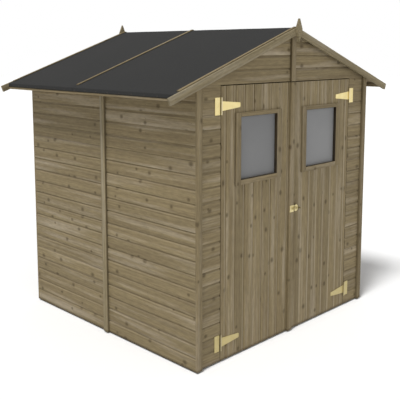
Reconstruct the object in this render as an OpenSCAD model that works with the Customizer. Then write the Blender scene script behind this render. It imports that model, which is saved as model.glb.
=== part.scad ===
// Wooden garden shed with horizontal cladding, a pitched felt roof and a pair of boarded doors.
// The front faces -Y, +Z is up, and the origin is on the ground under the middle of the shed.
// Heights build up from the cladding's lower edge: the windows, the doorway over them, then the eaves.

/* [Walls] */
// Width over the side walls' cladding
shed_w = 1830; // [1600:10:2200]
// Depth over the front and back cladding
shed_d = 1764; // [1400:10:2400]
// Height of the side walls' outer face above the doorway's head
eaves_h = 15; // [5:1:150]
// Gap between the ground and the cladding's lower edge
ground_gap = 10; // [5:1:30]
// Thickness of the cladding and of the door boards
clad_t = 12; // [9:0.5:20]
// Depth of the framing timbers behind the cladding
frame_t = 28; // [20:1:45]
// Width of the framing timbers
frame_w = 34; // [25:1:50]
// Gap between two wall panels, hidden by a cover strip
panel_gap = 2; // [1:0.5:6]

/* [Cover strips] */
// Width of the cover strips
strip_w = 45; // [30:1:60]
// Thickness of the cover strips
strip_t = 16; // [10:0.5:22]

/* [Floor] */
// Height of the floor bearers
bearer_h = 44; // [30:1:75]
// Width of the floor bearers
bearer_w = 44; // [30:1:75]
// Number of floor bearers
bearer_count = 5; // [3:2:7]
// Thickness of the floor deck
deck_t = 12; // [9:0.5:22]

/* [Roof] */
// Pitch of the roof in degrees
roof_pitch = 19.65; // [15:0.05:30]
// Thickness of the roof boards
roof_board_t = 12; // [9:0.5:18]
// Roof boards beyond the side cladding
eaves_over = 187; // [120:1:240]
// Roof boards beyond the front and back cladding
verge_over = 25; // [18:1:60]
// Thickness of the roofing felt
felt_t = 3; // [2:0.5:5]
// Height of the felt turned down over the eaves
felt_lip = 27; // [20:1:30]
// Width of the front sheet of felt
felt_sheet_w = 987; // [900:1:1050]
// Width of the battens that hold the felt
batten_w = 20; // [15:1:40]
// Thickness of the felt battens
batten_t = 6; // [4:0.5:12]
// Distance from the eaves to the lower ends of the felt battens
batten_stop = 35; // [20:1:120]
// Depth of the barge boards
barge_w = 45; // [40:1:90]
// Thickness of the barge boards
barge_t = 18; // [12:0.5:24]
// Barge boards beyond the edge of the roof boards
barge_over = 58; // [20:1:90]
// Thickness of the eaves fascia
fascia_t = 16; // [10:0.5:22]
// Depth of the eaves fascia at its outer face
fascia_h = 27; // [22:1:60]
// Depth of the purlins under the roof boards
purlin_t = 28; // [20:1:45]

/* [Finials] */
// Width of a finial
finial_w = 60; // [40:1:90]
// Height of a finial's tip above the felt at the ridge
finial_up = 58; // [40:1:120]
// Depth of a finial's foot below the felt at the ridge
finial_down = 99; // [70:1:140]
// Depth of a finial's widest place below the felt at the ridge
finial_waist = 11; // [0:1:30]
// Thickness of a finial
finial_t = 16; // [10:0.5:24]

/* [Doors] */
// Width of the doorway
doorway_w = 1398; // [1200:2:1440]
// Height of the doorway's head, the gable's lower edge, above the window openings
door_head_h = 203; // [165:1:300]
// Gap round each door
door_gap = 6; // [5:0.5:10]
// Width of the ledges and braces behind the door boards
ledge_w = 70; // [50:1:95]
// Thickness of the ledges and braces
ledge_t = 16; // [12:0.5:22]
// Distance from the ledges' ends to the door's edges
ledge_inset = 30; // [15:1:60]
// Gap at the ends of the braces
brace_gap = 0.5; // [0.3:0.1:2]
// Distance from a window's glazing beads up to the top ledge
top_ledge_gap = 22; // [5:1:40]

/* [Windows] */
// Width of the window openings
window_w = 360; // [280:1:420]
// Height of the window openings
window_h = 402; // [300:1:500]
// Distance from the shed's middle to a window's middle
window_x = 342; // [320:1:360]
// Height of the lower edge of the window openings above the cladding's lower edge
window_sill_h = 1147; // [900:1:1400]
// Width of the side trims
trim_w = 45; // [30:1:60]
// Height of the head trim
head_trim_h = 26; // [20:1:60]
// Height of the sill trim
sill_trim_h = 32; // [20:1:60]
// Thickness of the window trims
trim_t = 12; // [8:0.5:20]
// Gap between trims that meet
trim_gap = 0.8; // [0.5:0.1:2]
// Thickness of the window panes
glass_t = 3; // [2:0.5:6]
// Lap of a pane over its opening
glass_lap = 12; // [8:1:20]
// Width of the beads that hold a pane
bead_w = 18; // [12:1:25]
// Thickness of the glazing beads
bead_t = 12; // [8:0.5:20]

/* [Hinges] */
// Distance from a door's foot to its lower hinge's middle
hinge_inset = 122; // [90:1:160]
// Width of a hinge plate from the hinge pin
plate_w = 54; // [40:1:70]
// Height of a hinge plate
plate_h = 107; // [90:1:130]
// Length of a hinge strap from the hinge pin
strap_l = 174; // [120:1:220]
// Height of a strap at its root
strap_root_h = 60; // [50:1:70]
// Height of a strap at its tip
strap_tip_h = 29; // [15:1:40]
// Thickness of the hinge metal
hinge_t = 2.5; // [1.5:0.5:4]
// Outer diameter of the hinge knuckles
knuckle_d = 10; // [9:0.5:12]
// Diameter of the hinge pins
pin_d = 5; // [4:0.5:6]
// Radial clearance of a hinge pin in its strap
pin_clear = 0.3; // [0.1:0.05:0.5]
// Gap between hinge knuckles
knuckle_gap = 1; // [0.5:0.1:2]
// Distance from the door's face to the hinge pin
pin_out = 6; // [5.5:0.5:8]

/* [Pad bolt] */
// Diameter of the sliding bolt
bolt_d = 10; // [8:0.5:14]
// Travel of the sliding bolt
bolt_travel = 15; // [10:1:20]
// Thickness of the bolt's plates, guides and keep
bolt_metal_t = 2.5; // [1.5:0.5:4]
// Height of the bolt's plates
bolt_plate_h = 46; // [36:1:60]
// Clearance of the bolt in its guides
bolt_clear = 0.5; // [0.2:0.1:1]
// Clearance of the bolt in its keep
keep_clear = 1.5; // [1:0.1:3]
// Length of a bolt guide, along the bolt
guide_l = 5; // [3:0.5:8]
// Diameter of the bolt's knob
knob_d = 7; // [5:0.5:10]
// Length of the bolt's knob in front of the bolt
knob_l = 14; // [8:0.5:20]

/* [Hidden] */
$fn = 48;

wood = [0.50, 0.45, 0.33];
strip_wood = [0.53, 0.47, 0.35];
inner_wood = [0.60, 0.53, 0.38];
felt = [0.26, 0.26, 0.26];
yellow_zinc = [0.93, 0.86, 0.60];
glass = [0.46, 0.46, 0.46, 0.6];

// Half sizes of the shed, over the cladding and inside it
half_w = shed_w / 2;
half_d = shed_d / 2;
in_w = half_w - clad_t;
in_d = half_d - clad_t;
room_w = in_w - frame_t;
room_d = in_d - frame_t;

// Heights above the ground
clad_z = ground_gap;
window_low_z = clad_z + window_sill_h;
window_high_z = window_low_z + window_h;
head_z = window_high_z + door_head_h;
deck_z = bearer_h + deck_t;
rail_z = deck_z + frame_w;
door_top_z = head_z - door_gap;
ridge_z = head_z + eaves_h + half_w * tan(roof_pitch);

// Roof: half width and half length of the boards, and distances from the boards' underside
roof_half_w = half_w + eaves_over;
roof_half_d = half_d + verge_over;
board_top = roof_board_t;
felt_top = board_top + felt_t;
batten_top = felt_top + batten_t;
felt_ridge_z = ridge_z + felt_top / cos(roof_pitch);
felt_joint_y = felt_sheet_w - roof_half_d;
ridge_gap = 0.5;

// Doors: the edges of the leaves, the left one carrying the strip over the meeting edges
jamb_x = doorway_w / 2;
hinge_edge = jamb_x - door_gap;
left_meet_x = strip_w / 2;
right_meet_x = left_meet_x + door_gap;
pin_x = jamb_x - door_gap / 2;
pin_y = -half_d - pin_out;
top_ledge_z = window_high_z + bead_w + top_ledge_gap + ledge_w / 2;
ledge_heights = [clad_z + hinge_inset, (clad_z + head_z) / 2, top_ledge_z];
hinge_heights = [ledge_heights[0], ledge_heights[2]];

// Windows
window_in = window_x - window_w / 2;
window_out = window_x + window_w / 2;

// Pad bolt: its plates lie on the face of the meeting strip and of a block as thick as that strip
bolt_z = ledge_heights[1];
bolt_seat_y = -half_d - strip_t;
bolt_plate_y = bolt_seat_y - bolt_metal_t;
bolt_r = bolt_d / 2;
bolt_y = bolt_plate_y - keep_clear - bolt_r;
bolt_tip_x = right_meet_x + 1.5;
guide_x = right_meet_x + 2;
guide_pitch = guide_l + 6.5;
knob_x = guide_x + guide_pitch + guide_l + bolt_travel + 1 + knob_d / 2;
bolt_block_w = knob_x + knob_d / 2 - right_meet_x + 1;

// Height of the plane that lies n above the roof boards' underside, at distance x from the ridge
function roof_at(x, n = 0) = ridge_z - abs(x) * tan(roof_pitch) + n / cos(roof_pitch);

// A cuboid between two corners
module block(low, high) {
    translate(low)
        cube(high - low);
}

// A shape drawn in X and Z, carried from one depth to another
module along_depth(from_y, to_y) {
    translate([0, to_y, 0])
        rotate([90, 0, 0])
            linear_extrude(to_y - from_y)
                children();
}

module both_sides() {
    children();
    mirror([1, 0, 0])
        children();
}

module both_ends() {
    children();
    mirror([0, 1, 0])
        children();
}

// Layer of the right-hand slope between two distances from the boards' underside, cut plumb at both ends
module plumb_layer(from_x, to_x, n_low, n_high) {
    polygon([
        [from_x, roof_at(from_x, n_low)], [to_x, roof_at(to_x, n_low)],
        [to_x, roof_at(to_x, n_high)], [from_x, roof_at(from_x, n_high)]
    ]);
}

// The same layer with its lower end cut square to the slope
module square_layer(from_x, to_x, n_low, n_high) {
    low_x = to_x - (n_high - n_low) * sin(roof_pitch);
    polygon([
        [from_x, roof_at(from_x, n_low)], [low_x, roof_at(low_x, n_low)],
        [to_x, roof_at(to_x, n_high)], [from_x, roof_at(from_x, n_high)]
    ]);
}

// Upright of the right-hand half that ends under the slope, n above the boards' underside
module under_slope(from_x, to_x, from_z, n = 0) {
    polygon([
        [from_x, from_z], [to_x, from_z], [to_x, roof_at(to_x, n)], [from_x, roof_at(from_x, n)]
    ]);
}

// Upright across the middle that ends in a peak under both slopes
module under_ridge(width, from_z, n = 0) {
    polygon([
        [-width / 2, from_z], [width / 2, from_z], [width / 2, roof_at(width / 2, n)],
        [0, roof_at(0, n)], [-width / 2, roof_at(width / 2, n)]
    ]);
}

// Floor

module floor_bearers() {
    first_y = -in_d + door_gap;
    step = (in_d - first_y - bearer_w) / (bearer_count - 1);
    color(inner_wood)
        for (i = [0 : bearer_count - 1])
            block([-in_w, first_y + i * step, 0], [in_w, first_y + i * step + bearer_w, bearer_h]);
}

module floor_deck() {
    color(inner_wood)
        block([-in_w, -in_d + door_gap, bearer_h], [in_w, in_d, deck_z]);
}

// Walls: cladding

module side_wall() {
    both_ends()
        along_depth(panel_gap / 2, half_d)
            under_slope(in_w, half_w, clad_z);
}

module left_wall() {
    color(wood)
        mirror([1, 0, 0])
            side_wall();
}

module right_wall() {
    color(wood)
        side_wall();
}

module back_wall() {
    color(wood)
        both_sides()
            along_depth(in_d, half_d)
                under_slope(panel_gap / 2, in_w, clad_z);
}

module front_side_panels() {
    color(wood)
        both_sides()
            block([jamb_x, -half_d, clad_z], [in_w, -in_d, head_z]);
}

module front_gable() {
    color(wood)
        both_sides()
            along_depth(-half_d, -in_d)
                under_slope(panel_gap / 2, in_w, head_z);
}

// Walls: framing

module side_wall_rails() {
    top_rail_z = roof_at(in_w) - frame_w;
    color(inner_wood)
        both_sides()
            both_ends() {
                block([room_w, panel_gap / 2, deck_z], [in_w, in_d, rail_z]);
                along_depth(panel_gap / 2, in_d)
                    under_slope(room_w, in_w, top_rail_z);
            }
}

module side_wall_posts() {
    top_rail_z = roof_at(in_w) - frame_w;
    first_y = panel_gap / 2;
    step = (in_d - frame_w - first_y) / 2;
    color(inner_wood)
        both_sides()
            both_ends()
                for (i = [0 : 2])
                    block([room_w, first_y + i * step, rail_z],
                          [in_w, first_y + i * step + frame_w, top_rail_z]);
}

module back_wall_rails() {
    color(inner_wood)
        both_sides()
            block([panel_gap / 2, room_d, deck_z], [room_w, in_d, rail_z]);
}

module back_wall_posts() {
    first_x = panel_gap / 2;
    step = (room_w - frame_w - first_x) / 2;
    color(inner_wood)
        both_sides()
            along_depth(room_d, in_d)
                for (i = [0 : 2])
                    under_slope(first_x + i * step, first_x + i * step + frame_w, rail_z, -frame_w);
}

// The head rail is scribed under the rafters where it reaches them
module front_rails() {
    head_rail_x = jamb_x + frame_w;
    color(inner_wood) {
        along_depth(-in_d, -room_d)
            intersection() {
                translate([-head_rail_x, head_z])
                    square([2 * head_rail_x, frame_w]);
                under_ridge(2 * head_rail_x, head_z, -frame_w);
            }
        both_sides()
            block([head_rail_x, -in_d, deck_z], [room_w - frame_w, -room_d, rail_z]);
    }
}

module front_posts() {
    color(inner_wood) {
        both_sides() {
            block([jamb_x, -in_d, deck_z], [jamb_x + frame_w, -room_d, head_z]);
            along_depth(-in_d, -room_d)
                under_slope(room_w - frame_w, room_w, deck_z, -frame_w);
        }
        along_depth(-in_d, -room_d)
            under_ridge(frame_w, head_z + frame_w, -frame_w);
    }
}

// Roof

module roof_timbers() {
    purlin_half_l = room_d - 1;
    mid_x = half_w / 2;
    color(inner_wood)
        both_sides() {
            both_ends()
                along_depth(room_d, in_d)
                    plumb_layer(ridge_gap, room_w, -frame_w, 0);
            along_depth(-purlin_half_l, purlin_half_l) {
                plumb_layer(ridge_gap, frame_w, -purlin_t, 0);
                plumb_layer(mid_x, mid_x + frame_w, -purlin_t, 0);
            }
        }
}

module roof_panel() {
    along_depth(-roof_half_d, roof_half_d)
        plumb_layer(0, roof_half_w, 0, board_top);
}

module left_roof_panel() {
    color(inner_wood)
        mirror([1, 0, 0])
            roof_panel();
}

module right_roof_panel() {
    color(inner_wood)
        roof_panel();
}

// Section of the felt on one slope, with its edge turned down over the eaves
module felt_section() {
    lip_x = roof_half_w + felt_t;
    lip_z = roof_at(lip_x, felt_top) - felt_lip;
    polygon([
        [0, roof_at(0, board_top)], [roof_half_w, roof_at(roof_half_w, board_top)],
        [roof_half_w, lip_z], [lip_x, lip_z],
        [lip_x, roof_at(lip_x, felt_top)], [0, roof_at(0, felt_top)]
    ]);
}

module roof_felt() {
    along_depth(-roof_half_d, felt_joint_y - panel_gap / 2)
        felt_section();
    along_depth(felt_joint_y + panel_gap / 2, roof_half_d)
        felt_section();
}

module left_roof_felt() {
    color(felt)
        mirror([1, 0, 0])
            roof_felt();
}

module right_roof_felt() {
    color(felt)
        roof_felt();
}

module felt_battens() {
    from_ys = [-roof_half_d, felt_joint_y - batten_w / 2, roof_half_d - batten_w];
    color(strip_wood)
        both_sides()
            for (from_y = from_ys)
                along_depth(from_y, from_y + batten_w)
                    square_layer(ridge_gap, roof_half_w - batten_stop, felt_top, batten_top);
}

module eaves_fascias() {
    color(strip_wood)
        both_sides()
            along_depth(-roof_half_d, roof_half_d)
                under_slope(roof_half_w - fascia_t, roof_half_w, roof_at(roof_half_w) - fascia_h);
}

module barge_boards() {
    color(strip_wood)
        both_sides()
            both_ends()
                along_depth(roof_half_d, roof_half_d + barge_t)
                    square_layer(ridge_gap, roof_half_w + barge_over, felt_top - barge_w, felt_top);
}

module finials() {
    waist_z = felt_ridge_z - finial_waist;
    color(strip_wood)
        both_ends()
            along_depth(roof_half_d + barge_t, roof_half_d + barge_t + finial_t)
                polygon([
                    [0, felt_ridge_z - finial_down], [finial_w / 2, waist_z],
                    [0, felt_ridge_z + finial_up], [-finial_w / 2, waist_z]
                ]);
}

// Cover strips over the joints of the wall panels

module corner_strips() {
    both_sides()
        along_depth(half_d, half_d + strip_t)
            under_slope(half_w - strip_w, half_w, clad_z);
}

module front_cover_strips() {
    color(strip_wood)
        mirror([0, 1, 0]) {
            corner_strips();
            along_depth(half_d, half_d + strip_t)
                under_ridge(strip_w, head_z);
        }
}

module back_cover_strips() {
    color(strip_wood) {
        corner_strips();
        along_depth(half_d, half_d + strip_t)
            under_ridge(strip_w, clad_z);
    }
}

module side_wall_strips() {
    color(strip_wood)
        both_sides()
            along_depth(-strip_w / 2, strip_w / 2)
                under_slope(half_w, half_w + strip_t, clad_z);
}

// Tee hinges: the plate carries two knuckles and the pin, and the strap turns on the pin between them

module hinge_plate() {
    knuckle_r = knuckle_d / 2;
    half_h = plate_h / 2;
    inner_h = strap_root_h / 2 + knuckle_gap;
    flat_x = pin_x + knuckle_r + knuckle_gap;
    block([flat_x, -half_d - hinge_t, -half_h], [pin_x + plate_w, -half_d, half_h]);
    for (low_z = [-half_h, inner_h]) {
        block([pin_x, -half_d - hinge_t, low_z], [flat_x, -half_d, low_z + half_h - inner_h]);
        translate([pin_x, pin_y, low_z])
            cylinder(d = knuckle_d, h = half_h - inner_h);
    }
    translate([pin_x, pin_y, -half_h])
        cylinder(d = pin_d, h = plate_h);
}

module hinge_strap() {
    root_x = pin_x - knuckle_d / 2 - knuckle_gap;
    tip_x = pin_x - strap_l;
    half_root = strap_root_h / 2;
    half_tip = strap_tip_h / 2;
    tip_r = half_tip / 2;
    taper = atan2(half_root - half_tip, root_x - tip_x);
    corner_x = tip_x + tip_r;
    corner_z = half_tip + tip_r * (tan(taper) - 1 / cos(taper));
    side_x = corner_x - tip_r * sin(taper);
    side_z = corner_z + tip_r * cos(taper);
    difference() {
        union() {
            along_depth(-half_d - hinge_t, -half_d)
                polygon([
                    [pin_x, -half_root], [pin_x, half_root], [root_x, half_root], [side_x, side_z],
                    [tip_x, corner_z], [tip_x, -corner_z], [side_x, -side_z], [root_x, -half_root]
                ]);
            for (z = [-corner_z, corner_z])
                translate([corner_x, -half_d, z])
                    rotate([90, 0, 0])
                        cylinder(r = tip_r, h = hinge_t);
            translate([pin_x, pin_y, -half_root])
                cylinder(d = knuckle_d, h = strap_root_h);
        }
        translate([pin_x, pin_y, -strap_root_h])
            cylinder(r = pin_d / 2 + pin_clear, h = 2 * strap_root_h);
    }
}

module hinge_plates() {
    color(yellow_zinc)
        both_sides()
            for (z = hinge_heights)
                translate([0, 0, z])
                    hinge_plate();
}

module hinge_straps() {
    color(yellow_zinc)
        for (z = hinge_heights)
            translate([0, 0, z])
                hinge_strap();
}

// Doors: drawn for the right-hand leaf, with the meeting edge at a given distance from the middle

module door_side_boards(meet_x) {
    color(wood) {
        block([meet_x, -half_d, clad_z], [window_in, -in_d, door_top_z]);
        block([window_out, -half_d, clad_z], [hinge_edge, -in_d, door_top_z]);
    }
}

module door_window_boards() {
    color(wood) {
        block([window_in, -half_d, clad_z], [window_out, -in_d, window_low_z]);
        block([window_in, -half_d, window_high_z], [window_out, -in_d, door_top_z]);
    }
}

module door_ledges(meet_x) {
    from_x = meet_x + ledge_inset;
    to_x = hinge_edge - ledge_inset;
    low_z = ledge_heights[0] + ledge_w / 2 + brace_gap;
    high_z = ledge_heights[1] - ledge_w / 2 - brace_gap;
    color(inner_wood) {
        for (z = ledge_heights)
            block([from_x, -in_d, z - ledge_w / 2], [to_x, -in_d + ledge_t, z + ledge_w / 2]);
        along_depth(-in_d, -in_d + ledge_t)
            polygon([
                [to_x - ledge_w, low_z], [to_x, low_z], [from_x + ledge_w, high_z], [from_x, high_z]
            ]);
    }
}

module window_trim() {
    low_z = window_low_z - sill_trim_h;
    high_z = window_high_z + head_trim_h;
    color(strip_wood) {
        for (x = [window_in - trim_w, window_out])
            block([x, -half_d - trim_t, low_z], [x + trim_w, -half_d, high_z]);
        for (span = [[low_z, window_low_z], [window_high_z, high_z]])
            block([window_in + trim_gap, -half_d - trim_t, span[0]],
                  [window_out - trim_gap, -half_d, span[1]]);
    }
}

module window_glass() {
    color(glass)
        block([window_in - glass_lap, -in_d, window_low_z - glass_lap],
              [window_out + glass_lap, -in_d + glass_t, window_high_z + glass_lap]);
}

module glazing_beads() {
    bead_y = -in_d + glass_t;
    low_z = window_low_z - bead_w;
    high_z = window_high_z + bead_w;
    color(inner_wood) {
        for (x = [window_in - bead_w, window_out])
            block([x, bead_y, low_z], [x + bead_w, bead_y + bead_t, high_z]);
        for (z = [low_z, window_high_z])
            block([window_in + trim_gap, bead_y, z], [window_out - trim_gap, bead_y + bead_t, z + bead_w]);
    }
}

module left_door_side_boards() {
    mirror([1, 0, 0])
        door_side_boards(-left_meet_x);
}

module left_door_window_boards() {
    mirror([1, 0, 0])
        door_window_boards();
}

module left_door_ledges() {
    mirror([1, 0, 0])
        door_ledges(-left_meet_x);
}

module left_window_trim() {
    mirror([1, 0, 0])
        window_trim();
}

module left_window_glass() {
    mirror([1, 0, 0])
        window_glass();
}

module left_glazing_beads() {
    mirror([1, 0, 0])
        glazing_beads();
}

module left_hinge_straps() {
    mirror([1, 0, 0])
        hinge_straps();
}

module right_door_side_boards() {
    door_side_boards(right_meet_x);
}

module right_door_window_boards() {
    door_window_boards();
}

module right_door_ledges() {
    door_ledges(right_meet_x);
}

module right_window_trim() {
    window_trim();
}

module right_window_glass() {
    window_glass();
}

module right_glazing_beads() {
    glazing_beads();
}

module right_hinge_straps() {
    hinge_straps();
}

module meeting_strip() {
    color(strip_wood)
        block([left_meet_x - strip_w, -half_d - strip_t, clad_z], [left_meet_x, -half_d, door_top_z]);
}

// Pad bolt: a keep on the meeting strip, two guides on a plate, and a bolt with a knob

// Bridge over the bolt, open along X, with a given clearance round the bolt
module bolt_bridge(from_x, length, clearance) {
    inner = bolt_r + clearance;
    outer = inner + bolt_metal_t;
    front_y = bolt_y - outer;
    difference() {
        block([from_x, front_y, bolt_z - outer], [from_x + length, bolt_plate_y, bolt_z + outer]);
        block([from_x - 1, bolt_y - inner, bolt_z - inner],
              [from_x + length + 1, bolt_plate_y + 0.001, bolt_z + inner]);
    }
}

module bolt_keep() {
    plate_x = left_meet_x - strip_w + 2;
    keep_l = bolt_travel - door_gap;
    color(yellow_zinc) {
        block([plate_x, bolt_plate_y, bolt_z - bolt_plate_h / 2],
              [left_meet_x, bolt_seat_y, bolt_z + bolt_plate_h / 2]);
        bolt_bridge(left_meet_x - keep_l - 1, keep_l, keep_clear);
    }
}

module bolt_block() {
    color(strip_wood)
        block([right_meet_x, bolt_seat_y, bolt_z - bolt_plate_h / 2],
              [right_meet_x + bolt_block_w, -half_d, bolt_z + bolt_plate_h / 2]);
}

module bolt_guides() {
    radius = bolt_plate_h / 2;
    end_x = right_meet_x + bolt_block_w - 1;
    color(yellow_zinc) {
        along_depth(bolt_plate_y, bolt_seat_y)
            translate([0, bolt_z])
                intersection() {
                    translate([end_x - radius, 0])
                        circle(r = radius);
                    translate([right_meet_x + 1, -radius])
                        square([bolt_block_w, 2 * radius]);
                }
        for (i = [0, 1])
            bolt_bridge(guide_x + i * guide_pitch, guide_l, bolt_clear);
    }
}

module sliding_bolt() {
    color(yellow_zinc) {
        translate([bolt_tip_x, bolt_y, bolt_z])
            rotate([0, 90, 0])
                cylinder(d = bolt_d, h = knob_x + knob_d / 2 - bolt_tip_x);
        translate([knob_x, bolt_y, bolt_z])
            rotate([90, 0, 0])
                cylinder(d = knob_d, h = bolt_r + knob_l);
    }
}

floor_bearers();
floor_deck();
left_wall();
right_wall();
back_wall();
front_side_panels();
front_gable();
side_wall_rails();
side_wall_posts();
back_wall_rails();
back_wall_posts();
front_rails();
front_posts();
roof_timbers();
left_roof_panel();
right_roof_panel();
left_roof_felt();
right_roof_felt();
felt_battens();
eaves_fascias();
barge_boards();
finials();
front_cover_strips();
back_cover_strips();
side_wall_strips();
hinge_plates();
left_door_side_boards();
left_door_window_boards();
left_door_ledges();
left_window_trim();
left_window_glass();
left_glazing_beads();
left_hinge_straps();
meeting_strip();
bolt_keep();
right_door_side_boards();
right_door_window_boards();
right_door_ledges();
right_window_trim();
right_window_glass();
right_glazing_beads();
right_hinge_straps();
bolt_block();
bolt_guides();
sliding_bolt();
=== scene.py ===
"""A wooden garden shed, dressed piece by piece in the order in which it is put together."""

import bmesh
import bpy
import numpy as np
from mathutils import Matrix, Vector


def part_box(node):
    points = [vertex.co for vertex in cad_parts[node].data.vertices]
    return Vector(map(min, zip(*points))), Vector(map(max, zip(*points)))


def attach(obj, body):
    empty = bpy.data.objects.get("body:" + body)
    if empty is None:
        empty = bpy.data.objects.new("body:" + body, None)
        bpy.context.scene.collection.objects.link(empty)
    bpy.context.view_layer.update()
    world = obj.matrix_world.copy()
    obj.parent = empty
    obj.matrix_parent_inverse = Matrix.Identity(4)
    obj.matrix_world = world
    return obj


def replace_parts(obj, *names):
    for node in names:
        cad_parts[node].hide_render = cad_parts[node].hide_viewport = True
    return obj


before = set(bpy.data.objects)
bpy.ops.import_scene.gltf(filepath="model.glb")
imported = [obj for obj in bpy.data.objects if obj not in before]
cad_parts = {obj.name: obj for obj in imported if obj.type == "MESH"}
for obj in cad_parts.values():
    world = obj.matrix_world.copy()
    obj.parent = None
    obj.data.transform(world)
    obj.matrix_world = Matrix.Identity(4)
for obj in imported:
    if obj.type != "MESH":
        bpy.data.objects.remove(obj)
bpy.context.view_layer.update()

# Floor bearers
# Five square runners of rough sawn softwood, pressure treated to a dull olive brown.
# They lie loose on the ground, and the floor deck is nailed down on them.
MM = 0.001


def linear(colour):
    """Linear RGBA of an sRGB hex colour: a power curve with a straight foot."""
    srgb = np.array([int(colour[i:i + 2], 16) for i in (1, 3, 5)]) / 255
    rgb = np.where(srgb <= 0.04045, srgb / 12.92, ((srgb + 0.055) / 1.055) ** 2.4)
    return (*rgb.tolist(), 1.0)


def add(tree, kind, inputs=None, **settings):
    """Adds a shader node, sets its properties, and links or sets its inputs. An input goes by its name, or by
    its number where names repeat: a Mix node's share is 0, and its colours are 6 and 7."""
    node = tree.nodes.new("ShaderNode" + kind)
    for name, value in settings.items():
        setattr(node, name, value)
    for name, value in (inputs or {}).items():
        if isinstance(value, bpy.types.NodeSocket):
            tree.links.new(value, node.inputs[name])
        else:
            node.inputs[name].default_value = value
    return node


QUARTER = np.pi / 2
ALONG_X, ALONG_Y, ALONG_Z = (0, 0, 0), (0, 0, -QUARTER), (0, QUARTER, 0)


def new_finish(name):
    """A new material, with its node tree and the surface shader in it."""
    material = bpy.data.materials.new(name)
    material.use_nodes = True
    tree = material.node_tree
    return material, tree, tree.nodes["Principled BSDF"]


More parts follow.
